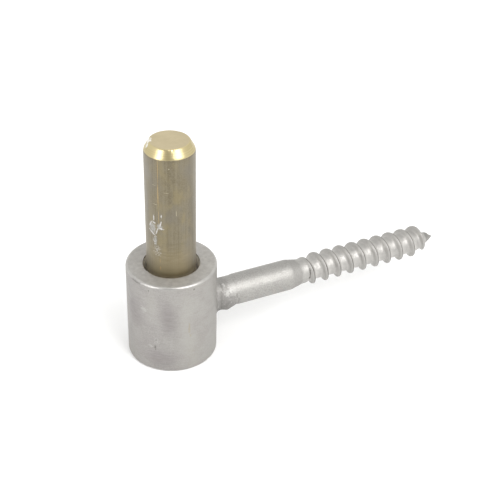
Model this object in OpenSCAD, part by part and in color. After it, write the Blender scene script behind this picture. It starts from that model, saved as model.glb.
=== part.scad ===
// Screw-in pintle: a thick steel collar on a welded wood screw, with an upright brass pin
// that the eye of a gate or shutter hinge turns on.
// The origin is on the pin's axis, in the plane of the collar's top face. The screw points
// along +X and the pin along +Z.

/* [Collar] */
// Outer diameter of the collar
collar_d = 33.4; // [30:0.1:44]
// Height of the collar
collar_h = 38; // [34:0.5:60]
// Radius of the collar's rounded outer edges
collar_edge = 0.7; // [0.3:0.1:1.5]
// Depth of the clear recess round the pin
recess_h = 10; // [6:0.5:16]
// Space between the pin and the wall of the recess
recess_gap = 1.35; // [0.8:0.05:2]
// Bevel on the inner edges at the recess's mouth and at the bore's lower end
bore_bevel = 0.4; // [0.2:0.1:0.8]

/* [Pin] */
// Diameter of the pin
pin_d = 18; // [14:0.5:20]
// Height of the pin above the collar
pin_h = 50; // [30:1:90]
// Height of the tapered lead at the pin's top
lead_h = 3.3; // [1:0.1:6]
// Angle of the lead to the pin's axis
lead_angle = 30; // [15:1:45]
// Width of the shoulder that seats on the floor of the recess
shoulder_w = 1; // [0.5:0.1:2.5]
// Distance from the pin's foot to the collar's base
foot_inset = 0.6; // [0.3:0.1:3]
// Bevel at the pin's foot
foot_bevel = 0.8; // [0.3:0.1:1.5]

/* [Screw] */
// Length of the screw from the collar's side to its tip
screw_l = 100; // [80:1:200]
// Height of the screw's axis above the collar's base
screw_z = 18; // [14:0.5:20]
// Diameter of the plain shank
shank_d = 12; // [11:0.1:14]
// Length of the plain shank
shank_l = 32.2; // [20:0.2:45]
// Length of the shank's end that is dressed down for the weld
dressed_l = 9.4; // [9:0.2:12]
// Depth to which that end is dressed down
dressed_depth = 0.2; // [0.2:0.05:0.4]
// Length of the taper between the shank and the neck
taper_l = 4.8; // [2:0.1:8]
// Diameter of the neck
neck_d = 9.9; // [9.5:0.1:10.5]
// Length of the neck, up to where its root starts to fall
neck_l = 1.6; // [1:0.1:4]
// Length over which the neck falls to the thread's root
neck_fall = 2; // [1:0.1:4]

/* [Thread] */
// Outer diameter of the thread
thread_d = 12.2; // [11:0.1:13]
// Root diameter of the thread
root_d = 8.9; // [8:0.1:9.4]
// Pitch of the thread
pitch = 5.8; // [4.6:0.1:8]
// Length over which the thread rises from the neck
run_in = 6; // [4:0.5:10]
// Width of the thread's crest
crest_w = 0.9; // [0.5:0.1:1.2]
// Length of the flank that faces the collar
near_flank = 0.9; // [0.6:0.1:1.2]
// Length of the flank that faces the tip
far_flank = 1.4; // [0.8:0.1:1.8]
// Angle about the screw's axis at which the thread leaves the neck
thread_turn = 289; // [0:1:359]
// Length of the gimlet point
point_l = 11; // [8:0.5:14]
// Angle of the bevel that the thread's crest follows down to the tip
crest_bevel = 41; // [36:1:50]

/* [Weld] */
// Length of the weld along the shank
weld_l = 8.2; // [6:0.2:8.4]
// Height of the weld's bead above the shank
weld_h = 1.2; // [0.8:0.1:1.5]
// Height of the weld's foot on the collar, above the shank
weld_foot = 1.7; // [1.5:0.1:2.2]
// Angle round the shank that the weld is laid over, from end to end
weld_arc = 280; // [240:5:320]
// Angle about the screw's axis of the middle of the weld
weld_mid = 250; // [235:1:285]

/* [Hidden] */

collar_r = collar_d / 2;
base_z = -collar_h;
pin_r = pin_d / 2;
recess_r = pin_r + recess_gap;
spigot_r = pin_r - shoulder_w;
lead_w = lead_h * tan(lead_angle);
axis_z = base_z + screw_z;
shank_r = shank_d / 2;
neck_r = neck_d / 2;
dressed_r = shank_r - dressed_depth;
dressed_end = collar_r + dressed_l;
shank_end = collar_r + shank_l;
taper_end = shank_end + taper_l;
tip_x = collar_r + screw_l;
round_fn = 96;
edge_steps = 6;

// Points on a quarter round in the plane of a profile, from angle a to a + 90
function quarter(centre, r, a) =
    [for (k = [0:edge_steps]) centre + r * [cos(a + 90 * k / edge_steps), sin(a + 90 * k / edge_steps)]];

module collar() {
    color("#B7B3AA") rotate_extrude($fn = round_fn) polygon(concat(
        [[spigot_r, base_z + bore_bevel], [spigot_r + bore_bevel, base_z]],
        quarter([collar_r - collar_edge, base_z + collar_edge], collar_edge, -90),
        quarter([collar_r - collar_edge, -collar_edge], collar_edge, 0),
        [[recess_r + bore_bevel, 0], [recess_r, -bore_bevel], [recess_r, -recess_h], [spigot_r, -recess_h]]
    ));
}

module brass_pin() {
    foot_z = base_z + foot_inset;
    color("#A6976A") rotate_extrude($fn = round_fn) polygon([
        [0, foot_z],
        [spigot_r - foot_bevel, foot_z],
        [spigot_r, foot_z + foot_bevel],
        [spigot_r, -recess_h],
        [pin_r, -recess_h],
        [pin_r, pin_h - lead_h],
        [pin_r - lead_w, pin_h],
        [0, pin_h]
    ]);
}

// The thread is one surface, laid down as a strip that winds round the screw's axis. Each step
// of the strip carries the profile of one pitch, and its last point is the first point of the
// same profile one turn later.
steps = 36;
tip_bend = 3;
strip_start = taper_end - pitch - 0.8;
strip_turns = (tip_x + tip_bend - strip_start) / pitch;
last_step = ceil(strip_turns * steps);

// Distance along the strip and share of the thread's height at each point of the profile
root_w = pitch - near_flank - crest_w - far_flank;
crest_x = root_w + near_flank;
profile = [
    [0, 0],
    [root_w, 0],
    [crest_x - near_flank * 0.18, 0.82],
    [crest_x + crest_w * 0.15, 0.97],
    [crest_x + crest_w * 0.5, 1],
    [crest_x + crest_w * 0.85, 0.97],
    [crest_x + crest_w + far_flank * 0.18, 0.82]
];
profile_n = len(profile);

// Smooth rise from 0 to 1 while x goes from a to b
function rise(x, a, b) = let (t = min(1, max(0, (x - a) / (b - a)))) t * t * (3 - 2 * t);

// The last stretch is drawn together, so that the strip closes on the tip
function along(x) = x < tip_x - tip_bend ? x
    : tip_x - tip_bend * exp((tip_x - tip_bend - x) / tip_bend);

// Radius of the root: it falls from the neck, runs on, and rounds off into the point
function root_r(x) =
    let (body = (neck_d + (root_d - neck_d) * rise(x, taper_end + neck_l, taper_end + neck_l + neck_fall)) / 2)
    let (left = min(1, (tip_x - x) / point_l))
    body * (1 - pow(1 - left, 1.55));

// Radius of the crest: it rises out of the neck and is bevelled off towards the tip
function crest_r(x) =
    let (body = (neck_d + (thread_d - neck_d) * rise(x, taper_end, taper_end + run_in)) / 2)
    max(root_r(x), min(body, (tip_x - 1 - x) * tan(crest_bevel)));

// Point of the strip at step i and profile point j
function strip_point(i, j) =
    let (x = along(strip_start + pitch * i / steps + profile[j][0]))
    let (r = root_r(x) + profile[j][1] * (crest_r(x) - root_r(x)))
    let (lag = (taper_end - crest_x - crest_w / 2 - strip_start) / pitch)
    let (a = thread_turn + 360 * (i / steps - lag))
    [x, r * cos(a), r * sin(a)];

// Place of a strip point in the list of points
function at(i, j) =
    j == profile_n ? at(i + steps, 0)
    : i <= last_step ? i * profile_n + j
    : (last_step + 1) * profile_n + i - last_step - 1;

module thread() {
    near_cap = at(last_step + steps, 0) + 1;
    far_cap = near_cap + 1;
    polyhedron(
        points = concat(
            [for (i = [0:last_step]) for (j = [0:profile_n - 1]) strip_point(i, j)],
            [for (i = [last_step + 1:last_step + steps]) strip_point(i, 0)],
            [[strip_start + pitch / 2, 0, 0], [tip_x, 0, 0]]
        ),
        faces = concat(
            [for (i = [0:last_step - 1]) for (j = [0:profile_n - 1]) [at(i, j), at(i + 1, j + 1), at(i + 1, j)]],
            [for (i = [0:last_step - 1]) for (j = [0:profile_n - 1]) [at(i, j), at(i, j + 1), at(i + 1, j + 1)]],
            [for (i = [0:steps - 1]) [near_cap, at(i, 0), at(i + 1, 0)]],
            [for (j = [0:profile_n - 1]) [near_cap, at(0, j + 1), at(0, j)]],
            [for (i = [last_step:last_step + steps - 1]) [far_cap, at(i + 1, 0), at(i, 0)]],
            [for (j = [0:profile_n - 1]) [far_cap, at(last_step, j), at(last_step, j + 1)]]
        )
    );
}

// The plain shank, coped to the collar's side, with its taper carried on into the neck
module shank() {
    taper_bury = 0.4;
    taper_slope = (shank_r - neck_r) / taper_l;
    difference() {
        rotate([0, 90, 0]) rotate_extrude($fn = round_fn) polygon([
            [0, 0],
            [dressed_r, 0],
            [dressed_r, dressed_end - 4 * dressed_depth],
            [shank_r, dressed_end],
            [shank_r, shank_end],
            [neck_r - taper_bury, taper_end + taper_bury / taper_slope],
            [0, taper_end + taper_bury / taper_slope]
        ]);
        cylinder(h = 2 * shank_d, r = collar_r, center = true, $fn = 2 * round_fn);
    }
}

module lag_screw() {
    color("#B9B6B0") translate([0, 0, axis_z]) {
        shank();
        thread();
    }
}

// The weld's section, as distance from the collar's side and height above the shank. Its first
// and last points lie inside the collar and the shank, and are cut away with them.
weld_bury = 1.6 * weld_h;
weld_section = [
    [-weld_bury, -weld_bury],
    [-weld_bury, weld_foot * 1.3],
    [0, weld_foot],
    [weld_l * 0.08, weld_foot * 0.5],
    [weld_l * 0.2, weld_h * 0.5],
    [weld_l * 0.36, weld_h * 0.72],
    [weld_l * 0.48, weld_h],
    [weld_l * 0.62, weld_h * 0.95],
    [weld_l * 0.8, weld_h * 0.6],
    [weld_l * 0.95, weld_h * 0.2],
    [weld_l * 1.05, -weld_h * 0.3],
    [weld_l * 1.05, -weld_bury]
];
weld_steps = 40;

// Share of the weld's full height at step i: full in the middle, and sunk into the shank at its ends
function weld_share(i) = let (t = abs(2 * i / weld_steps - 1)) 1 - 1.3 * pow(t, 1.6);

// Point of the weld at step i and section point j
function weld_point(i, j) =
    let (a = weld_mid + weld_arc * (i / weld_steps - 0.5))
    let (h = weld_section[j][1])
    let (r = dressed_r + (h > 0 ? h * weld_share(i) : h))
    [sqrt(pow(collar_r, 2) - pow(dressed_r * cos(a), 2)) + weld_section[j][0], r * cos(a), r * sin(a)];

module weld_bead() {
    n = len(weld_section);
    color("#AFABA2") difference() {
        translate([0, 0, axis_z]) polyhedron(
            points = [for (i = [0:weld_steps]) for (j = [0:n - 1]) weld_point(i, j)],
            faces = concat(
                [for (i = [0:weld_steps - 1]) for (j = [0:n - 1])
                    [i * n + j, i * n + (j + 1) % n, (i + 1) * n + (j + 1) % n]],
                [for (i = [0:weld_steps - 1]) for (j = [0:n - 1])
                    [i * n + j, (i + 1) * n + (j + 1) % n, (i + 1) * n + j]],
                [[for (j = [0:n - 1]) n - 1 - j], [for (j = [0:n - 1]) weld_steps * n + j]]
            )
        );
        translate([0, 0, axis_z]) rotate([0, 90, 0])
            cylinder(h = shank_end, r = dressed_r, $fn = round_fn);
        translate([0, 0, axis_z]) cylinder(h = 4 * shank_d, r = collar_r, center = true, $fn = 2 * round_fn);
    }
}

collar();
brass_pin();
lag_screw();
weld_bead();
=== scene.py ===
import math

import bmesh
import bpy
import numpy as np
from mathutils import Matrix, Vector, noise


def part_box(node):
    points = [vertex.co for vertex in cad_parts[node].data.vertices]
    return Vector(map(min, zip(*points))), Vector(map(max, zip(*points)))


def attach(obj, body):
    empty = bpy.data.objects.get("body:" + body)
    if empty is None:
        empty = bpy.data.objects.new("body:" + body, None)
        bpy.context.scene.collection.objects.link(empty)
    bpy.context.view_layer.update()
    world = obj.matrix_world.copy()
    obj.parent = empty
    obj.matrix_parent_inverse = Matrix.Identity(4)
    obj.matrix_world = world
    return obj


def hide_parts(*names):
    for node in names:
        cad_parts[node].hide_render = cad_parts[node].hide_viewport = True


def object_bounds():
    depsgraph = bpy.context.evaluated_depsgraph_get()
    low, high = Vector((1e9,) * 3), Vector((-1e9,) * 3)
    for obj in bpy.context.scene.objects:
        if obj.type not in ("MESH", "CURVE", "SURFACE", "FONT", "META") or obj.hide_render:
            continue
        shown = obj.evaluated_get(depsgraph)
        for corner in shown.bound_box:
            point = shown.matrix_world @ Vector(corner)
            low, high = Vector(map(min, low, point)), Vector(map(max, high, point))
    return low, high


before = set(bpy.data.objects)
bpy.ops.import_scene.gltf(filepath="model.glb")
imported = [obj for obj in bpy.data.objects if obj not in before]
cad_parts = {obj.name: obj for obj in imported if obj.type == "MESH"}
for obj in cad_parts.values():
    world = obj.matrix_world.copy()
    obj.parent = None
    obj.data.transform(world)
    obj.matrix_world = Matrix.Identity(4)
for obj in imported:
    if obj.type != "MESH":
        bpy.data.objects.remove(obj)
cad_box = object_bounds()

# The view: the photographer stood a little to the left of the screw and looked down on the part.
# The camera looks at a point on the pin's axis just below the collar's top face, and is
# moved sideways and up so that the collar lies left of the middle of the frame.
mm = 0.001
view_turn = math.radians(-27.5)
view_rise = math.radians(33.9)
view_roll = math.radians(1.83)
view_distance = 395.9 * mm
view_shift = Vector((28.63, 5.85)) * mm
view_target = Vector((0, 0, -2)) * mm
lens_mm = 78.2

camera_data = bpy.data.cameras.new("camera")
camera_data.lens = lens_mm
camera_data.sensor_width = 36
camera_data.clip_start = 10 * mm
camera = bpy.data.objects.new("camera", camera_data)
bpy.context.scene.collection.objects.link(camera)
bpy.context.scene.camera = camera

view_back = Vector((
    math.sin(view_turn) * math.cos(view_rise),
    -math.cos(view_turn) * math.cos(view_rise),
    math.sin(view_rise),
))
level_right = Vector((math.cos(view_turn), math.sin(view_turn), 0))
level_up = view_back.cross(level_right)
view_right = math.cos(view_roll) * level_right + math.sin(view_roll) * level_up
view_up = math.cos(view_roll) * level_up - math.sin(view_roll) * level_right
view_place = (view_target + view_distance * view_back
              + view_shift.x * view_right + view_shift.y * view_up)
view_axes = Matrix((view_right, view_up, view_back)).transposed().to_4x4()
camera.matrix_world = Matrix.Translation(view_place) @ view_axes


# The studio: a pale table under a bright tent. The tent is darker on the photographer's side,
# and two soft boxes stand left and right of the camera.
def wire(tree, kind, sockets=None, **settings):
    """Adds a node, with its sockets set to plain values or linked to other nodes' outputs."""
    made = tree.nodes.new(kind)
    for name, value in settings.items():
        setattr(made, name, value)
    for socket, value in (sockets or {}).items():
        if isinstance(value, bpy.types.NodeSocket):
            tree.links.new(value, made.inputs[socket])
        else:
            made.inputs[socket].default_value = value
    return made


def calculate(tree, operation, *values):
    """A maths node on plain values or outputs."""
    made = wire(tree, "ShaderNodeMath", dict(enumerate(values)), operation=operation)
    return made.outputs[0]


def measure(tree, operation, *vectors):
    """A number from plain vectors or outputs, such as a length or a dot product."""
    made = wire(tree, "ShaderNodeVectorMath", dict(enumerate(vectors)), operation=operation)
    return made.outputs["Value"]


def step_up(tree, value, low, high):
    """A smooth rise from 0 to 1 as a value goes from low to high."""
    made = wire(tree, "ShaderNodeMapRange", {0: value, 1: low, 2: high},
                interpolation_type="SMOOTHSTEP")
    return made.outputs[0]


def aimed_light(name, turn, rise, distance, width, height, power):
    """A soft box in the direction of turn and rise, seen from the part, that faces the part."""
    turn, rise = math.radians(turn), math.radians(rise)
    away = Vector((math.cos(turn) * math.cos(rise), math.sin(turn) * math.cos(rise),
                   math.sin(rise)))
    faced = away.to_track_quat("Z", "Y").to_matrix().to_4x4()
    data = bpy.data.lights.new(name, "AREA")
    data.shape = "RECTANGLE"
    data.size = width
    data.size_y = height
    data.energy = power
    light = bpy.data.objects.new(name, data)
    light.matrix_world = Matrix.Translation(away * distance) @ faced
    bpy.context.scene.collection.objects.link(light)


aimed_light("left_box", turn=-161, rise=24, distance=0.8, width=0.3, height=0.5, power=2.4)
aimed_light("right_box", turn=-71, rise=43, distance=0.8, width=0.48, height=0.74, power=4.65)

tent_level = 1.05
tent_front_dip = 0.6
world = bpy.data.worlds.new("tent")
world.use_nodes = True
bpy.context.scene.world = world
tent = world.node_tree
direction = wire(tent, "ShaderNodeTexCoord").outputs["Generated"]
front = step_up(tent, measure(tent, "DOT_PRODUCT", direction, tuple(view_back)), 0.55, 0.98)
level = calculate(tent, "SUBTRACT", tent_level, calculate(tent, "MULTIPLY", front, tent_front_dip))
tent.nodes["Background"].inputs["Color"].default_value = (1, 1, 0.99, 1)
tent.links.new(level, tent.nodes["Background"].inputs["Strength"])

table_half = 8
table_mesh = bpy.data.meshes.new("table")
corners = [(-1, -1), (1, -1), (1, 1), (-1, 1)]
table_mesh.from_pydata(
    [(x * table_half, y * table_half, cad_box[0].z) for x, y in corners], [], [(0, 1, 2, 3)])
table = bpy.data.objects.new("table", table_mesh)
bpy.context.scene.collection.objects.link(table)
table_paint = bpy.data.materials.new("pale_table")
table_paint.use_nodes = True
table_shader = table_paint.node_tree.nodes["Principled BSDF"]
table_shader.inputs["Base Color"].default_value = (0.96, 0.96, 0.96, 1)
table_shader.inputs["Roughness"].default_value = 0.8
table_mesh.materials.append(table_paint)

bpy.context.scene.view_settings.view_transform = "Standard"


# The collar: a short length of thick-walled steel tube, faced off at both ends. It was tumbled
# and pickled after welding, which left it satin, a little blotched, and bright on its edges.
def rounded(corners, step, closed=True, bend_steps=6, side_share=0.45):
    """Points (radius, height, edge) along an outline of (radius, height, rounding) corners.
    Edge is 1 in the middle of a rounded corner and falls to 0 on the straight stretches.
    A rounding takes up at most side_share of a side."""
    count = len(corners)
    points = []
    for k, (r, z, rounding) in enumerate(corners):
        here = Vector((r, z))
        ends = []
        for other in (k - 1, k + 1):
            if closed or 0 <= other < count:
                away = Vector(corners[other % count][:2]) - here
                ends.append(here + away.normalized() * min(rounding, away.length * side_share))
        if rounding == 0 or len(ends) < 2:
            points.append((r, z, 0))
        else:
            for i in range(bend_steps + 1):
                t = i / bend_steps
                bend = (1 - t) ** 2 * ends[0] + 2 * t * (1 - t) * here + t ** 2 * ends[1]
                points.append((bend.x, bend.y, math.sin(math.pi * t) ** 0.5))
    line = []
    for k, (r, z, edge) in enumerate(points):
        line.append((r, z, edge))
        if closed or k + 1 < len(points):
            r2, z2, _ = points[(k + 1) % len(points)]
            pieces = math.ceil(math.hypot(r2 - r, z2 - z) / step)
            for t in np.linspace(0, 1, pieces + 1)[1:-1]:
                line.append((r + (r2 - r) * t, z + (z2 - z) * t, 0))
    return line


def knock_depth(knocks, angle, z):
    """How far the knocks push a surface in. Each has an angle in degrees, a height, half a width
    in radians, half a height and a depth."""
    depth = 0
    for turn, height, wide, tall, deep in knocks:
        off = (angle - math.radians(turn) + math.pi) % (2 * math.pi) - math.pi
        depth += deep * math.exp(-((off / wide) ** 2 + ((z - height) / tall) ** 2))
    return depth


def solid_piece(name, places, faces, node, slot_name, **attributes):
    """A piece from points and faces, smooth shaded, which rides on the part in place of a node."""
    mesh = bpy.data.meshes.new(name)
    mesh.from_pydata([tuple(p) for p in places], [], faces)
    for key, values in attributes.items():
        stored = mesh.attributes.new(key, "FLOAT", "POINT")
        stored.data.foreach_set("value", np.array(values, np.float32))
    shape = bmesh.new()
    shape.from_mesh(mesh)
    bmesh.ops.remove_doubles(shape, verts=shape.verts, dist=0.2e-6)
    bmesh.ops.recalc_face_normals(shape, faces=shape.faces)
    shape.to_mesh(mesh)
    shape.free()
    mesh.shade_smooth()
    piece = bpy.data.objects.new(name, mesh)
    bpy.context.scene.collection.objects.link(piece)
    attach(piece, "root")
    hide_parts(node)
    return piece


def revolve(name, outline, closed, segments, node, slot_name, knocks=(), waver=0.0):
    """A turned piece about the Z axis. Knocks and waver only ever take its surface inwards."""
    places, edges, rings = [], [], []
    waver_size = 5 * mm
    for r, z, edge in outline:
        ring = [len(places)] * segments
        if r > 0:
            ring = list(range(len(places), len(places) + segments))
        for k in range(segments if r > 0 else 1):
            a = 2 * math.pi * k / segments
            soft = noise.noise(Vector((math.cos(a) * r, math.sin(a) * r, z)) / waver_size)
            near = max(0, r - knock_depth(knocks, a, z) - waver * (0.5 + 0.5 * soft))
            places.append((near * math.cos(a), near * math.sin(a), z))
            edges.append(edge)
        rings.append(ring)
    faces = []
    for k in range(len(rings) if closed else len(rings) - 1):
        low, high = rings[k], rings[(k + 1) % len(rings)]
        for i in range(segments):
            j = (i + 1) % segments
            faces.append(list(dict.fromkeys([low[i], low[j], high[j], high[i]])))
    return solid_piece(name, places, faces, node, slot_name, edge=edges)


collar_low, collar_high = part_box("collar")
pin_low, pin_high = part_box("brass_pin")
collar_r = collar_high.x
collar_base = collar_low.z
pin_r = pin_high.x
pin_foot = pin_low.z
pin_top = pin_high.z
recess_r = pin_r + 1.35 * mm
recess_depth = 10 * mm
spigot_r = pin_r - 1 * mm

collar_outline = rounded([
    (spigot_r, collar_base, 0.4 * mm),
    (collar_r, collar_base, 1.0 * mm),
    (collar_r, 0, 1.1 * mm),
    (recess_r, 0, 0.4 * mm),
    (recess_r, -recess_depth, 0.2 * mm),
    (spigot_r, -recess_depth, 0.2 * mm),
], step=0.8 * mm)
collar_knocks = [
    (-167, 0, 0.05, 0.7 * mm, 0.22 * mm),
    (-158, -0.3 * mm, 0.03, 0.5 * mm, 0.12 * mm),
    (-84.5, -2 * mm, 0.018, 0.5 * mm, 0.1 * mm),
    (-135, -27.4 * mm, 0.02, 0.9 * mm, 0.1 * mm),
    (-60, -37.6 * mm, 0.05, 0.7 * mm, 0.15 * mm),
    (35, -0.2 * mm, 0.04, 0.5 * mm, 0.15 * mm),
    (120, -12 * mm, 0.03, 0.8 * mm, 0.08 * mm),
]
collar = revolve("turned_collar", collar_outline, closed=True, segments=256, node="collar",
                 slot_name="collar_steel", knocks=collar_knocks, waver=0.03 * mm)


def new_group(name, inputs, outputs):
    """A shader node group with (name, default) inputs. A default with three numbers is a vector."""
    tree = bpy.data.node_groups.new(name, "ShaderNodeTree")
    for label, default in inputs:
        kind = "NodeSocketVector" if hasattr(default, "__len__") else "NodeSocketFloat"
        tree.interface.new_socket(label, in_out="INPUT", socket_type=kind).default_value = default
    for label in outputs:
        tree.interface.new_socket(label, in_out="OUTPUT", socket_type="NodeSocketFloat")
    return tree, tree.nodes.new("NodeGroupInput").outputs, tree.nodes.new("NodeGroupOutput")


def fill_group(tree, group, sockets):
    """Places a group in a material, fills its sockets and returns its outputs."""
    placed = tree.nodes.new("ShaderNodeGroup")
    placed.node_tree = group
    for name, value in sockets.items():
        if isinstance(value, bpy.types.NodeSocket):
            tree.links.new(value, placed.inputs[name])
        else:
            placed.inputs[name].default_value = value
    return placed.outputs


def noise_of(tree, vector, scale, detail=2.0, roughness=0.5):
    """Noise about the middle value 0.5 at a scale in cells a metre."""
    sockets = {"Vector": vector, "Scale": scale, "Detail": detail, "Roughness": roughness}
    return wire(tree, "ShaderNodeTexNoise", sockets).outputs[0]


def scaled(tree, vector, factors):
    """A vector with its three parts scaled."""
    made = wire(tree, "ShaderNodeVectorMath", {0: vector, 1: factors}, operation="MULTIPLY")
    return made.outputs[0]


def off_axis(tree, place):
    """Distance from the axis of the collar and the pin."""
    return measure(tree, "LENGTH", scaled(tree, place, (1, 1, 0)))


def swing(tree, value, width):
    """A value from 0 to 1 turned into an offset of up to half of width to both sides of 0."""
    return calculate(tree, "MULTIPLY", calculate(tree, "SUBTRACT", value, 0.5), width)


def weighted(tree, *terms):
    """The sum of values, each times its weight."""
    total = None
    for value, weight in terms:
        part = calculate(tree, "MULTIPLY", value, weight)
        total = part if total is None else calculate(tree, "ADD", total, part)
    return total


# Grain of blasted, pickled or rolled metal: fine pits over soft blotches
grain, grain_in, grain_out = new_group(
    "metal_grain", [("Vector", (0, 0, 0)), ("Pits", 2500.0), ("Blotches", 160.0)],
    ["Pits", "Blotches", "Height"])
pits = noise_of(grain, grain_in["Vector"], grain_in["Pits"], 3, 0.65)
blotches = noise_of(grain, grain_in["Vector"], grain_in["Blotches"], 4, 0.6)
grain.links.new(step_up(grain, pits, 0.35, 0.68), grain_out.inputs["Pits"])
grain.links.new(step_up(grain, blotches, 0.33, 0.67), grain_out.inputs["Blotches"])
coarse = noise_of(grain, grain_in["Vector"], calculate(grain, "MULTIPLY", grain_in["Pits"], 0.5))
grain.links.new(weighted(grain, (pits, 0.55), (coarse, 0.45)), grain_out.inputs["Height"])

# A mask on exposed edges, broken up by noise: real wear on the collar, painted shade on the screw's
# crests
wear, wear_in, wear_out = new_group(
    "edge_wear_and_shade", [("Edge", 0.0), ("Vector", (0, 0, 0)), ("Breakup", 900.0), ("Start", 0.45)],
    ["Worn"])
ragged = noise_of(wear, wear_in["Vector"], wear_in["Breakup"], 3)
rubbed = calculate(wear, "ADD", wear_in["Edge"], swing(wear, ragged, 0.9))
fully_worn = calculate(wear, "ADD", wear_in["Start"], 0.4)
wear.links.new(step_up(wear, rubbed, wear_in["Start"], fully_worn), wear_out.inputs["Worn"])

# One scratch, nick or smear on a round surface: an oval with a lean and a frayed border.
# Around and along are distances round the surface and along its axis.
mark, mark_in, mark_out = new_group("surface_mark", [
    ("Around", 0.0), ("Along", 0.0), ("Fray", 0.0), ("Middle around", 0.0), ("Middle along", 0.0),
    ("Half width", 0.001), ("Half height", 0.001), ("Lean", 0.0), ("Softness", 0.4)], ["Mask"])
off_along = calculate(mark, "SUBTRACT", mark_in["Along"], mark_in["Middle along"])
off_around = calculate(mark, "SUBTRACT", mark_in["Around"], mark_in["Middle around"])
leant = calculate(mark, "MULTIPLY_ADD", off_along, mark_in["Lean"], off_around)
oval = wire(mark, "ShaderNodeCombineXYZ", {
    0: calculate(mark, "DIVIDE", leant, mark_in["Half width"]),
    1: calculate(mark, "DIVIDE", off_along, mark_in["Half height"])}).outputs[0]
border = calculate(mark, "ADD", mark_in["Fray"], measure(mark, "LENGTH", oval))
fade_start = calculate(mark, "SUBTRACT", 1.0, mark_in["Softness"])
inside = wire(mark, "ShaderNodeMapRange", {0: border, 1: fade_start, 2: 1.0, 3: 1.0, 4: 0.0},
              interpolation_type="SMOOTHSTEP").outputs[0]
mark.links.new(inside, mark_out.inputs["Mask"])


def round_place(tree, across, up, along, radius, front):
    """Where a point is on a round surface: its distances round it, counted from its front, and
    along it. With them comes a noise that frays the borders of marks."""
    turn = calculate(tree, "SUBTRACT", calculate(tree, "ARCTAN2", up, across), math.radians(front))
    turn = calculate(tree, "WRAP", turn, math.pi, -math.pi)
    place = wire(tree, "ShaderNodeTexCoord").outputs["Object"]
    fray = calculate(tree, "SUBTRACT", noise_of(tree, place, 1800.0, 3), 0.5)
    return {"around": calculate(tree, "MULTIPLY", turn, radius), "along": along, "fray": fray,
            "radius": radius, "front": front}


def marks_of(tree, spot, places, ragged, softness=0.4):
    """All marks of a list as one mask. Each has a turn in degrees, a place along, half width and
    half height in mm, and a lean in degrees. Ragged is how far noise frays their borders."""
    mask = None
    fray = calculate(tree, "MULTIPLY", spot["fray"], 4 * ragged)
    for turn, middle, wide, tall, lean in places:
        off_front = (turn - spot["front"] + 180) % 360 - 180
        one = fill_group(tree, mark, {
            "Around": spot["around"], "Along": spot["along"], "Fray": fray,
            "Middle around": math.radians(off_front) * spot["radius"], "Middle along": middle * mm,
            "Half width": wide * mm, "Half height": tall * mm, "Lean": math.tan(math.radians(lean)),
            "Softness": softness})["Mask"]
        mask = one if mask is None else calculate(tree, "MAXIMUM", mask, one)
    return mask


def blend_colour(tree, factor, low, high):
    """A mix of two colours, each a plain colour or an output."""
    made = tree.nodes.new("ShaderNodeMix")
    made.data_type = "RGBA"
    sockets = [i for i in made.inputs if i.type == "RGBA"]
    for socket, value in ((made.inputs[0], factor), (sockets[0], low), (sockets[1], high)):
        if isinstance(value, bpy.types.NodeSocket):
            tree.links.new(value, socket)
        else:
            socket.default_value = (*value, 1) if hasattr(value, "__len__") else value
    return next(o for o in made.outputs if o.type == "RGBA")


def tinted(tree, colour, mask, strength, tint):
    """A colour that goes over to a tint where a mask is 1, at a strength from 0 to 1."""
    return blend_colour(tree, calculate(tree, "MULTIPLY", mask, strength), colour, tint)


def blend_value(tree, factor, low, high):
    """A mix of two values, each a plain number or an output."""
    return wire(tree, "ShaderNodeMapRange", {0: factor, 1: 0.0, 2: 1.0, 3: low, 4: high}).outputs[0]


def stored_value(tree, name):
    """A value that was stored on the points of a mesh."""
    return wire(tree, "ShaderNodeAttribute", attribute_name=name).outputs["Fac"]


def new_metal(name):
    """A material with its node tree, shader, object coordinates and edge mask at hand."""
    paint = bpy.data.materials.new(name)
    paint.use_nodes = True
    tree = paint.node_tree
    shader = tree.nodes["Principled BSDF"]
    shader.inputs["Metallic"].default_value = 1
    place = wire(tree, "ShaderNodeTexCoord").outputs["Object"]
    return paint, tree, shader, place, stored_value(tree, "edge")


def finish_metal(tree, shader, colour, roughness, height, depth):
    """Links the varying colour, roughness and relief of a metal to its shader."""
    tree.links.new(colour, shader.inputs["Base Color"])
    tree.links.new(roughness, shader.inputs["Roughness"])
    relief = wire(tree, "ShaderNodeBump", {"Height": height, "Distance": depth, "Strength": 1.0})
    tree.links.new(relief.outputs[0], shader.inputs["Normal"])


paint, tree, shader, place, edge = new_metal("tumbled_collar_steel")
grains = fill_group(tree, grain, {"Vector": place, "Pits": 2600.0, "Blotches": 150.0})
at_x, at_y, at_z = wire(tree, "ShaderNodeSeparateXYZ", {0: place}).outputs
smears = noise_of(tree, scaled(tree, place, (1, 1, 0.35)), 110.0, 3)
colour = blend_colour(tree, grains["Blotches"], (0.345, 0.328, 0.312), (0.36, 0.348, 0.328))
colour = blend_colour(tree, step_up(tree, smears, 0.45, 0.75), colour, (0.375, 0.362, 0.33))
# Painted shade: the side of the collar facing a turn of -158 degrees is tinted darker grey
dull_turn = math.radians(-158)
dull_side = measure(tree, "DOT_PRODUCT", place,
                    (math.cos(dull_turn) / collar_r, math.sin(dull_turn) / collar_r, 0))
colour = tinted(tree, colour, step_up(tree, dull_side, 0.3, 0.95), 0.55, (0.29, 0.272, 0.268))
colour = tinted(tree, colour, grains["Pits"], 0.55, (0.42, 0.41, 0.39))
top_face = step_up(tree, at_z, -0.9 * mm, -0.1 * mm)
top_mottle = step_up(tree, noise_of(tree, place, 480.0, 4, 0.65), 0.36, 0.64)
top_colour = blend_colour(tree, top_mottle, (0.485, 0.47, 0.447), (0.575, 0.56, 0.535))
colour = tinted(tree, colour, top_face, 0.7, top_colour)
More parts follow.
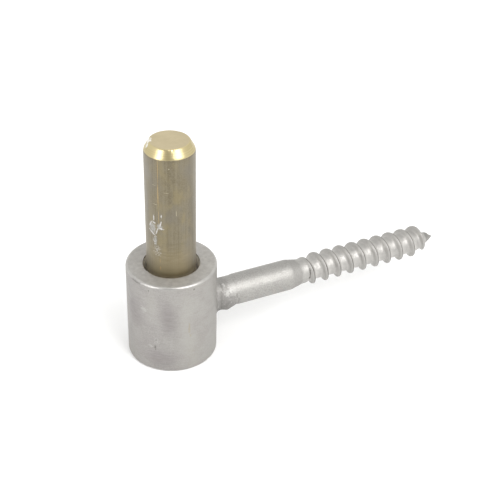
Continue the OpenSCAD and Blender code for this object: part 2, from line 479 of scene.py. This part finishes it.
# Marks are placed by their turn about the axis, counted from the side that faces the camera
front_turn = -117.5
spot = round_place(tree, at_x, at_y, at_z, collar_r, front_turn)
# Painted shade and painted sheen: darker and lighter upright bands on the collar's side, laid as
# reflections of the studio would lay them
shade = marks_of(tree, spot, [
    (-118, -13, 4.5, 11.0, 4), (-166, -14, 5.5, 10.0, 0),
    (-130, -32, 9.0, 6.0, 0)], ragged=0.12, softness=0.95)
colour = tinted(tree, colour, shade, 0.9, (0.275, 0.256, 0.252))
gleam = marks_of(tree, spot, [
    (-139, -8, 4.0, 11.0, 0), (-95, -16, 4.5, 18.0, 0)], ragged=0.12, softness=0.95)
colour = tinted(tree, colour, gleam, 0.4, (0.42, 0.41, 0.38))
lathe = noise_of(tree, scaled(tree, place, (0.12, 0.12, 1)), 2600.0, 2, 0.6)
colour = tinted(tree, colour, step_up(tree, lathe, 0.42, 0.62), 0.22, (0.43, 0.42, 0.40))
# Dark marks: small ones, some at knocks, and a long dark line just under the rim on the left
stains = marks_of(tree, spot, [
    (-135, -27.4, 0.4, 1.3, 3), (-133.6, -24, 0.5, 0.6, 0), (-84.5, -2, 0.35, 0.6, 0),
    (-142, -2.4, 0.3, 0.4, 0), (-161, -0.8, 3.4, 0.5, -2)], ragged=0.45)
colour = tinted(tree, colour, stains, 0.6, (0.15, 0.14, 0.13))
flecks = marks_of(tree, spot, [
    (-151, -11.5, 1.3, 1.4, 0), (-133, -24.4, 1.2, 1.2, 0), (-141, -27, 1.0, 0.6, 0)], ragged=1.0)
colour = tinted(tree, colour, flecks, 0.3, (0.55, 0.54, 0.52))
rust = marks_of(tree, spot, [
    (-89.5, -22.2, 0.4, 0.7, 0), (-91, -19, 0.5, 3.0, 0), (60, -30, 0.6, 0.8, 0)], ragged=0.6)
colour = tinted(tree, colour, rust, 0.3, (0.36, 0.30, 0.19))
worn = fill_group(
    tree, wear, {"Edge": edge, "Vector": place, "Breakup": 700.0, "Start": 0.4})["Worn"]
colour = tinted(tree, colour, worn, 0.25, (0.5, 0.49, 0.47))
# The recess is far brighter in the photo than bare steel would be in so narrow a gap, so its
# wall is painted a near white
near_axis = calculate(tree, "LESS_THAN", off_axis(tree, place), recess_r + 0.15 * mm)
below_rim = calculate(tree, "LESS_THAN", at_z, -0.5 * mm)
above_floor = calculate(tree, "GREATER_THAN", at_z, -recess_depth - 0.5 * mm)
at_height = calculate(tree, "MULTIPLY", below_rim, above_floor)
recess = calculate(tree, "MULTIPLY", near_axis, at_height)
recess_colour = blend_colour(
    tree, step_up(tree, at_z, -7 * mm, -1 * mm), (0.93, 0.91, 0.88), (0.96, 0.95, 0.92))
colour = blend_colour(tree, recess, colour, recess_colour)
roughness = blend_value(tree, grains["Blotches"], 0.58, 0.48)
roughness = blend_value(tree, top_face, roughness, 0.7)
roughness = blend_value(tree, worn, roughness, 0.36)
finish_metal(tree, shader, colour, roughness, grains["Height"], depth=0.08 * mm)
tree.links.new(blend_value(tree, recess, 1.0, 0.0), shader.inputs["Metallic"])
collar.data.materials.append(paint)


# The pin: drawn brass bar that has gone dull and brown, with a lead freshly turned on its top.
# Its spigot is pressed into the collar, and the pin's shoulder seats on the floor of the recess.
lead_height = 3.3 * mm
lead_width = lead_height * math.tan(math.radians(30))
lead_foot = pin_top - lead_height
pin_outline = rounded([
    (0, pin_foot, 0),
    (spigot_r, pin_foot, 0.8 * mm),
    (spigot_r, -recess_depth, 0.05 * mm),
    (pin_r, -recess_depth, 0.3 * mm),
    (pin_r, lead_foot, 0.7 * mm),
    (pin_r - lead_width, pin_top, 0.5 * mm),
    (0, pin_top, 0),
], step=0.6 * mm, closed=False)
pin_knocks = [
    (-104, pin_top - 0.1 * mm, 0.06, 0.5 * mm, 0.12 * mm),
    (-112, pin_top - 0.2 * mm, 0.03, 0.3 * mm, 0.1 * mm),
    (150, pin_top - 1.0 * mm, 0.1, 0.9 * mm, 0.2 * mm),
    (-115, 43.6 * mm, 0.02, 0.22 * mm, 0.05 * mm),
    (-157, 18.5 * mm, 0.12, 2.0 * mm, 0.04 * mm),
    (40, pin_top - 0.2 * mm, 0.05, 0.4 * mm, 0.15 * mm),
]
pin = revolve("drawn_pin", pin_outline, closed=False, segments=192, node="brass_pin",
              slot_name="pin_brass", knocks=pin_knocks, waver=0.012 * mm)

paint, tree, shader, place, edge = new_metal("drawn_brass")
grains = fill_group(tree, grain, {"Vector": place, "Pits": 2200.0, "Blotches": 190.0})
at_x, at_y, at_z = wire(tree, "ShaderNodeSeparateXYZ", {0: place}).outputs
draw_lines = noise_of(tree, scaled(tree, place, (1, 1, 0.012)), 1900.0, 3, 0.7)
broad_lines = noise_of(tree, scaled(tree, place, (1, 1, 0.03)), 420.0, 2)
rings = noise_of(tree, scaled(tree, place, (0.01, 0.01, 1)), 3200.0, 2, 0.7)
colour = blend_colour(
    tree, step_up(tree, broad_lines, 0.3, 0.7), (0.146, 0.125, 0.084), (0.21, 0.184, 0.13))
colour = tinted(tree, colour, step_up(tree, draw_lines, 0.4, 0.68), 0.75, (0.25, 0.222, 0.162))
colour = tinted(tree, colour, grains["Blotches"], 0.6, (0.142, 0.118, 0.072))
colour = tinted(tree, colour, grains["Pits"], 0.6, (0.245, 0.215, 0.152))
golden = noise_of(tree, scaled(tree, place, (1, 1, 0.5)), 260.0, 4, 0.65)
golden = step_up(tree, golden, 0.47, 0.66)
colour = tinted(tree, colour, golden, 0.55, (0.26, 0.218, 0.125))
bands = noise_of(tree, scaled(tree, place, (0.15, 0.15, 1)), 800.0, 4, 0.6)
bands = step_up(tree, bands, 0.42, 0.62)
foot_zone = calculate(tree, "MULTIPLY", step_up(tree, at_z, 20 * mm, 6 * mm), 0.5)
colour = tinted(tree, colour, bands, foot_zone, (0.12, 0.096, 0.054))
tarnish = noise_of(tree, scaled(tree, place, (1, 1, 0.6)), 130.0, 3)
colour = tinted(tree, colour, step_up(tree, tarnish, 0.5, 0.7), 0.45, (0.185, 0.172, 0.15))
# Painted light: the pin is tinted lighter towards its foot, and near white where it goes down into
# the recess, lifting the shade that falls there
colour = tinted(tree, colour, step_up(tree, at_z, 16 * mm, 0.0), 0.8, (0.32, 0.268, 0.165))
colour = blend_colour(tree, step_up(tree, at_z, 0.5 * mm, -3.0 * mm), colour, (0.82, 0.76, 0.64))
# Painted sheen: the pin is tinted paler where its surface turns away from the camera, towards its
# outline
facing = wire(tree, "ShaderNodeLayerWeight", {"Blend": 0.35}).outputs["Facing"]
side_colour = blend_colour(
    tree, step_up(tree, draw_lines, 0.38, 0.62), (0.275, 0.252, 0.205), (0.345, 0.318, 0.265))
colour = tinted(tree, colour, step_up(tree, facing, 0.08, 0.6), 0.62, side_colour)
spot = round_place(tree, at_x, at_y, at_z, pin_r, front_turn)
gold_line = marks_of(tree, spot, [
    (-140.5, 33.0, 0.2, 5.5, 0), (-140, 42, 0.12, 5.5, 0), (-140, 24, 0.1, 4.0, 0),
    (-138, 2.8, 0.25, 0.9, 0), (-138.5, 6.0, 0.1, 1.2, 0)], ragged=0.16)
colour = tinted(tree, colour, gold_line, 0.85, (0.42, 0.31, 0.16))
greyed = marks_of(tree, spot, [
    (-172, 40, 3.0, 4.5, 0), (-178, 28, 1.5, 7.0, 0)], ragged=0.25, softness=0.9)
colour = tinted(tree, colour, greyed, 0.5, (0.27, 0.255, 0.235))
pale_nicks = marks_of(tree, spot, [
    (-115, 43.6, 0.35, 0.25, 0), (-148.5, 29, 1.3, 0.12, 4), (-150, 36.5, 0.9, 0.1, 40),
    (-122, 34.2, 1.6, 0.1, 12), (-52, 30, 0.25, 0.3, 0), (-100, 26, 0.15, 1.5, 0)], ragged=0.3)
colour = tinted(tree, colour, pale_nicks, 0.7, (0.42, 0.38, 0.28))
# The scuff on the pin's left in the photo: a dull smear, a tail of flecks, and a torn rim
smear = marks_of(tree, spot, [
    (-157, 19.0, 2.1, 3.0, 0), (-138, 20.2, 1.5, 1.6, 0),
    (-149.5, 14.0, 0.9, 2.6, 0)], ragged=0.25, softness=0.7)
tail = marks_of(tree, spot, [(-146, 9.8, 1.7, 2.8, 0), (-151, 14.0, 0.9, 3.0, 0)], ragged=0.5)
torn_rim = marks_of(tree, spot, [
    (-153, 23.4, 0.3, 1.6, 0), (-163, 20.4, 0.35, 1.9, -29), (-160, 17.0, 0.75, 1.2, 58),
    (-133.5, 24.6, 0.28, 1.0, 0), (-136, 21.2, 0.3, 1.8, -15), (-134, 19.5, 1.2, 0.45, 10),
    (-145, 18.2, 0.35, 2.0, -20), (-153, 21.3, 0.9, 0.5, 0)], ragged=0.34, softness=0.7)
flecks = noise_of(tree, scaled(tree, place, (1, 1, 0.6)), 2600.0, 3, 0.7)
flecks = step_up(tree, flecks, 0.47, 0.60)
flecked = calculate(tree, "MAXIMUM", calculate(tree, "MULTIPLY", smear, 0.35),
                    calculate(tree, "MULTIPLY", tail, 0.6))
silver = calculate(tree, "MAXIMUM", calculate(tree, "MULTIPLY", flecked, flecks), torn_rim)
colour = tinted(tree, colour, smear, 0.7, (0.34, 0.338, 0.32))
colour = blend_colour(tree, silver, colour, (0.54, 0.528, 0.512))
# The turned lead and top face: bright rings on the lead, a duller face with a torn burr behind,
# whose glint is a painted highlight
ragged_z = calculate(tree, "ADD", at_z, swing(tree, grains["Blotches"], 0.12 * mm))
turned_zone = step_up(tree, ragged_z, lead_foot - 0.06 * mm, lead_foot + 0.06 * mm)
bright_brass = blend_colour(
    tree, step_up(tree, rings, 0.35, 0.7), (0.53, 0.45, 0.245), (0.60, 0.515, 0.295))
face_zone = step_up(tree, at_z, pin_top - 0.08 * mm, pin_top - 0.03 * mm)
from_axis = off_axis(tree, place)
face_rings = wire(tree, "ShaderNodeTexNoise", {"W": from_axis, "Scale": 1500.0, "Detail": 2.0},
                  noise_dimensions="1D").outputs[0]
dull_face = blend_colour(tree, grains["Blotches"], (0.54, 0.465, 0.305), (0.585, 0.505, 0.335))
bright_brass = blend_colour(tree, face_zone, bright_brass, dull_face)
near_rim = step_up(tree, from_axis, 5.9 * mm, 6.3 * mm)
# Painted highlight: the torn burr near the face's rim is painted near white, as its glint
torn = marks_of(tree, spot, [
    (160, 49.7, 1.7, 0.6, 0), (148, 49.4, 1.3, 0.8, 0), (170, 48.8, 1.0, 0.9, 0)], ragged=0.3)
torn = calculate(tree, "MULTIPLY", torn, near_rim)
bright_brass = blend_colour(tree, torn, bright_brass, (0.86, 0.84, 0.77))
colour = blend_colour(tree, turned_zone, colour, bright_brass)
roughness = blend_value(tree, grains["Blotches"], 0.50, 0.42)
roughness = blend_value(tree, silver, roughness, 0.42)
turned_roughness = blend_value(tree, face_zone, 0.31, 0.5)
roughness = blend_value(tree, turned_zone, roughness, turned_roughness)
body_relief = weighted(tree, (grains["Height"], 0.5), (silver, 1.2), (draw_lines, 0.6))
lead_relief = calculate(tree, "MULTIPLY", rings, 0.5)
face_relief = weighted(tree, (face_rings, 0.12), (grains["Height"], 1.2))
turned_relief = blend_value(tree, face_zone, lead_relief, face_relief)
relief = blend_value(tree, turned_zone, body_relief, turned_relief)
finish_metal(tree, shader, colour, roughness, relief, depth=0.018 * mm)
pin.data.materials.append(paint)


# The screw: a plain shank and a coarse wood thread, rolled from steel rod and pointed like a
# gimlet. Its end is dressed down, coped to the collar's round side and welded there.
screw_low, screw_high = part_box("lag_screw")
screw_axis = (screw_low.z + screw_high.z) / 2
tip_x = screw_high.x
shank_r = 6.0 * mm
dressed_r = 5.8 * mm
dressed_end = collar_r + 9.4 * mm
dressed_fade = 1.2 * mm
shank_end = collar_r + 32.2 * mm
taper_end = shank_end + 4.8 * mm
taper_swell = 0.02
neck_r = 4.95 * mm
root_r = 4.45 * mm
crest_r = 6.1 * mm
pitch = 5.8 * mm
root_start = taper_end + 1.6 * mm
root_full = taper_end + 3.6 * mm
thread_full = taper_end + 6 * mm
point_length = 11 * mm
point_fullness = 1.55
bevel_end = tip_x - 1 * mm
bevel_slope = math.tan(math.radians(41))
ridge_height = 0.4 * mm
turn_steps = 96
thread_turn = math.radians(289)
tip_bend = 3 * mm
# One pitch of the thread: distance along the screw in mm, share of the thread's height, how much
# the point lies in the groove behind the crest, and how close it is to the crest's rear edge
# The groove column sets a painted highlight, and the rear-edge column a painted shade line
thread_profile = [
    (0.0, 0.03, 0.9, 0), (0.25, 0.0, 0.5, 0), (1.3, 0.0, 0.0, 0), (2.3, 0.0, 0.0, 0),
    (2.6, 0.06, 0.1, 0), (2.85, 0.22, 0.0, 0), (3.15, 0.55, 0.0, 0), (3.4, 0.83, 0.0, 0),
    (3.65, 0.96, 0.0, 0), (4.0, 1.0, 0.0, 0), (4.17, 0.99, 0.0, 0.9), (4.42, 0.91, 0.1, 1),
    (4.56, 0.73, 0.3, 0.6), (4.68, 0.48, 0.6, 0.1), (4.9, 0.22, 1.0, 0), (5.35, 0.08, 1.0, 0),
]
crest_offset = 3.95 * mm


def ease(x, low, high):
    """Smooth rise from 0 to 1 as x goes from low to high."""
    t = np.clip((x - low) / (high - low), 0, 1)
    return t * t * (3 - 2 * t)


def cope_x(radius, angle):
    """Where the collar's side is, at a radius and an angle about the screw's axis."""
    return np.sqrt(collar_r ** 2 - (radius * np.cos(angle)) ** 2)


def body_r(x):
    """Radius of the shank, the taper and the root of the thread."""
    shank = dressed_r + (shank_r - dressed_r) * ease(x, dressed_end - dressed_fade, dressed_end)
    taper = np.clip((x - shank_end) / (taper_end - shank_end), 0, 1)
    taper = taper + taper_swell * np.sin(2 * math.pi * taper)
    neck = shank + (neck_r - shank) * taper
    root = neck + (root_r - neck) * ease(x, root_start, root_full)
    left = np.clip((tip_x - x) / point_length, 0, 1)
    return root * (1 - (1 - left) ** point_fullness)


def thread_r(x):
    """Radius of the thread's crest, which rises from the neck, is bevelled off at the point and
    goes on there as a low ridge."""
    rising = neck_r + (crest_r - neck_r) * ease(x, taper_end, thread_full)
    rising = np.where(x < taper_end, 0, rising)
    bevel = (bevel_end - x) * bevel_slope
    ridge = body_r(x) + ridge_height * (1 - ease(x, tip_x - 2.8 * mm, tip_x - 1.4 * mm))
    return np.maximum(body_r(x), np.minimum(rising, np.maximum(bevel, ridge)))


# The screw's side is one strip that winds round its axis, one pitch a turn. It starts inside the
# collar, where the cope cuts it off, and its last turns are drawn in so that they end at the tip.
strip_start = collar_r - pitch - 1.6 * mm
strip_turns = (tip_x + tip_bend - strip_start) / pitch
last_step = math.ceil(strip_turns * turn_steps)
offsets, shares, grooves, rears = np.array(thread_profile).T
offsets = offsets * mm
profile_count = len(offsets)
steps_on = np.arange(last_step + turn_steps + 1)
strip_x = strip_start + pitch * steps_on[:, None] / turn_steps + offsets[None, :]
drawn_in = tip_x - tip_bend * np.exp((tip_x - tip_bend - strip_x) / tip_bend)
strip_x = np.where(strip_x < tip_x - tip_bend, strip_x, drawn_in)
strip_turn = (strip_start + crest_offset - taper_end) / pitch
step_angle = thread_turn + 2 * math.pi * (steps_on / turn_steps + strip_turn)
strip_angle = np.tile(step_angle[:, None], profile_count)
height = thread_r(strip_x) - body_r(strip_x)
strip_r = body_r(strip_x) + shares[None, :] * height
strip_x = np.maximum(strip_x, cope_x(strip_r, strip_angle))

full_height = 1.4 * mm
places, edges, roots, lines = [], [], [], []
for i in range(last_step + turn_steps + 1):
    for j in range(profile_count if i <= last_step else 1):
        x, r, a = strip_x[i, j], strip_r[i, j], strip_angle[i, j]
        here = Vector((x, r * math.cos(a), r * math.sin(a)))
        # Unevenness fades out at the collar and at the tip, and is slight on the shank
        free = min(1, max(0, (x - collar_r - 1 * mm) / (2 * mm))) * min(1, r / (3 * mm))
        free *= 0.2 + 0.8 * float(ease(x, shank_end, taper_end + 4 * mm))
        soft = noise.noise(here / (2.6 * mm))
        fine = noise.noise(here / (0.8 * mm) + Vector((3, 5, 7)))
        r = r + (0.028 * soft + 0.012 * fine) * mm * free
        places.append((x, r * math.cos(a), r * math.sin(a) + screw_axis))
        fullness = min(1, height[i, j] / full_height)
        edges.append(shares[j] * fullness)
        roots.append(grooves[j] * fullness)
        lines.append(rears[j] * fullness)


def strip_index(i, j):
    """Place of a strip point: past the profile's last point comes the same turn's next strip."""
    if j == profile_count:
        return strip_index(i + turn_steps, 0)
    if i <= last_step:
        return i * profile_count + j
    return (last_step + 1) * profile_count + i - last_step - 1


faces = []
for i in range(last_step):
    for j in range(profile_count):
        faces.append((strip_index(i, j), strip_index(i + 1, j),
                      strip_index(i + 1, j + 1), strip_index(i, j + 1)))
tip_index = len(places)
places.append((tip_x, 0, screw_axis))
for j in range(profile_count):
    faces.append((tip_index, strip_index(last_step, j + 1), strip_index(last_step, j)))
for i in range(last_step, last_step + turn_steps):
    faces.append((tip_index, strip_index(i, 0), strip_index(i + 1, 0)))
# The coped end, as rings that get smaller towards the screw's axis
cap_shares = (1, 0.66, 0.33)
cap_start = len(places)
for share in cap_shares:
    for i in range(turn_steps):
        a = strip_angle[i, 0]
        r = dressed_r * share
        places.append((float(cope_x(r, a)), r * math.cos(a), r * math.sin(a) + screw_axis))
cap_middle = len(places)
places.append((collar_r, 0, screw_axis))
for i in range(turn_steps):
    k = (i + 1) % turn_steps
    for outer in range(cap_start, cap_middle - turn_steps, turn_steps):
        inner = outer + turn_steps
        faces.append((outer + i, inner + i, inner + k, outer + k))
    faces.append((inner + i, cap_middle, inner + k))
spare = len(places) - tip_index
screw = solid_piece("wood_screw", places, faces, "lag_screw", "screw_steel",
                    edge=edges + [0] * spare, groove=roots + [0] * spare, line=lines + [0] * spare)

paint, tree, shader, place, edge = new_metal("rolled_screw_steel")
grains = fill_group(tree, grain, {"Vector": place, "Pits": 1900.0, "Blotches": 260.0})
at_x, at_y, at_z = wire(tree, "ShaderNodeSeparateXYZ", {0: place}).outputs
groove = stored_value(tree, "groove")
line = stored_value(tree, "line")
ragged_x = calculate(tree, "ADD", at_x, swing(tree, noise_of(tree, place, 500.0, 3), 3 * mm))
heated = step_up(tree, ragged_x, collar_r + 5.6 * mm, collar_r + 4.4 * mm)
past_shank = step_up(tree, ragged_x, shank_end - 0.8 * mm, shank_end + 0.2 * mm)
before_neck = step_up(tree, ragged_x, taper_end - 0.4 * mm, taper_end - 1.2 * mm)
dull_taper = calculate(tree, "MULTIPLY", past_shank, before_neck)
past_taper = step_up(tree, ragged_x, taper_end - 1.2 * mm, taper_end - 0.2 * mm)
before_thread = step_up(tree, ragged_x, taper_end + 2.6 * mm, taper_end + 1.8 * mm)
neck = calculate(tree, "MULTIPLY", past_taper, before_thread)
colour = blend_colour(tree, grains["Blotches"], (0.328, 0.318, 0.302), (0.35, 0.34, 0.324))
thread_zone = step_up(tree, at_x, taper_end, taper_end + 3 * mm)
thread_colour = blend_colour(tree, grains["Blotches"], (0.40, 0.388, 0.37), (0.44, 0.428, 0.41))
colour = blend_colour(tree, thread_zone, colour, thread_colour)
colour = tinted(tree, colour, grains["Pits"], 0.6, (0.48, 0.47, 0.45))
colour = tinted(tree, colour, heated, 0.4, (0.27, 0.262, 0.25))
colour = tinted(tree, colour, dull_taper, 0.4, (0.345, 0.337, 0.322))
# Painted highlight: the neck is tinted lighter
colour = tinted(tree, colour, neck, 0.5, (0.46, 0.45, 0.43))
point_zone = step_up(tree, ragged_x, tip_x - 4.6 * mm, tip_x - 4.0 * mm)
colour = tinted(tree, colour, point_zone, 0.8, (0.27, 0.262, 0.248))
# Painted shade: the crests and their upper flanks are tinted darker grey, broken up by noise
dull_crest = fill_group(
    tree, wear, {"Edge": edge, "Vector": place, "Breakup": 900.0, "Start": 0.25})["Worn"]
colour = tinted(tree, colour, dull_crest, 0.4, (0.36, 0.35, 0.334))
# Painted highlight: the grooves behind the crests are tinted lighter
colour = tinted(tree, colour, groove, 0.7, (0.6, 0.585, 0.56))
# Painted shade: a thin dark line along the rear edge of each crest, broken up by noise
broken = blend_value(tree, step_up(tree, noise_of(tree, place, 450.0, 2), 0.35, 0.6), 0.6, 1.0)
dark_scale = (0.10, 0.095, 0.085)
colour = tinted(tree, colour, line, broken, dark_scale)
above_axis = calculate(tree, "SUBTRACT", at_z, screw_axis)
spot = round_place(tree, at_y, above_axis, at_x, root_r, front=143)
burr = marks_of(tree, spot, [(160, 56.4, 2.5, 0.35, 8), (188, 56.3, 0.8, 0.5, 0)], ragged=0.4)
colour = tinted(tree, colour, burr, 0.75, dark_scale)
scorch = marks_of(tree, spot, [
    (200, 25.0, 2.6, 0.3, -4), (170, 24.2, 1.2, 0.3, 30), (120, 19.0, 1.8, 0.5, 0)], ragged=0.5)
colour = tinted(tree, colour, scorch, 0.35, (0.12, 0.115, 0.105))
spatter = marks_of(tree, spot, [
    (150, 20.4, 1.0, 0.9, 0), (116, 20.0, 0.5, 0.5, 0), (142, 21.8, 0.7, 0.6, 0)], ragged=1.1)
colour = tinted(tree, colour, spatter, 0.5, (0.62, 0.61, 0.59))
roughness = blend_value(tree, grains["Blotches"], 0.49, 0.45)
roughness = blend_value(tree, thread_zone, roughness, 0.46)
roughness = blend_value(tree, calculate(tree, "MULTIPLY", edge, 0.8), roughness, 0.56)
roughness = blend_value(tree, heated, roughness, 0.6)
roughness = blend_value(tree, dull_taper, roughness, 0.6)
finish_metal(tree, shader, colour, roughness, grains["Height"], depth=0.16 * mm)
screw.data.materials.append(paint)


# The weld: one heavy run laid round the lower side of the joint, brushed but not ground. It
# fills the corner on the collar, dips, and ends in a second low bead along the shank.
weld_mid = math.radians(250)
weld_reach = 140
second_bead_short = 38
weld_steps = 144
ripple_pitch = 1.3 * mm
sunk = 0.04 * mm
# The run's section: distance from the collar's side and height above the shank, in mm
weld_profile = [
    (0.0, 1.7), (0.3, 1.15), (0.7, 0.82), (1.3, 0.64), (2.0, 0.58), (2.8, 0.68), (3.5, 0.9),
    (4.1, 1.1), (4.7, 1.18), (5.3, 1.08), (6.0, 0.86), (6.8, 0.62), (7.5, 0.38), (8.1, 0.14),
    (8.5, 0.0),
]
places, edges = [], []
for i in range(weld_steps + 1):
    t = 2 * i / weld_steps - 1
    a = weld_mid + math.radians(weld_reach) * t
    ripple = 0.05 * math.cos(a * dressed_r / ripple_pitch * 2 * math.pi)
    section = []
    for along, tall in weld_profile:
        on_second = min(1, max(0, (along - 2.2) / 1.8))
        reach = math.radians(weld_reach - second_bead_short * on_second)
        share = max(0, 1 - 1.3 * abs((a - weld_mid) / reach) ** 1.6)
        here = Vector((along * mm, dressed_r * math.cos(a), dressed_r * math.sin(a)))
        lump = 1 + 0.16 * noise.noise(here / (1.6 * mm)) + 0.1 * noise.noise(here / (0.6 * mm))
        raised = (tall * lump + ripple * (0 < along < 8)) * mm
        r = dressed_r - sunk + (raised + sunk) * share
        section.append((along * mm, r, math.exp(-((along - 2.0) / 0.7) ** 2)))
    for along, _ in reversed(weld_profile):
        section.append((along * mm, dressed_r - 3 * sunk, 0))
    for along, r, valley in section:
        places.append((float(cope_x(r, a)) + along, r * math.cos(a), r * math.sin(a) + screw_axis))
        edges.append(valley)
ring = len(section)
faces = []
for i in range(weld_steps):
    for j in range(ring):
        k = (j + 1) % ring
        faces.append((i * ring + j, i * ring + k, (i + 1) * ring + k, (i + 1) * ring + j))
faces.append(tuple(range(ring)))
faces.append(tuple(weld_steps * ring + j for j in range(ring)))
weld = solid_piece("laid_weld", places, faces, "weld_bead", "weld_steel", edge=edges)

paint, tree, shader, place, edge = new_metal("brushed_weld_steel")
grains = fill_group(tree, grain, {"Vector": place, "Pits": 1700.0, "Blotches": 320.0})
colour = blend_colour(tree, grains["Blotches"], (0.25, 0.242, 0.23), (0.325, 0.315, 0.302))
bright_grains = step_up(tree, noise_of(tree, place, 1500.0), 0.6, 0.72)
colour = tinted(tree, colour, bright_grains, 0.6, (0.5, 0.49, 0.47))
colour = tinted(tree, colour, edge, 0.45, (0.11, 0.105, 0.095))
roughness = blend_value(tree, grains["Pits"], 0.62, 0.5)
finish_metal(tree, shader, colour, roughness, grains["Height"], depth=0.09 * mm)
weld.data.materials.append(paint)
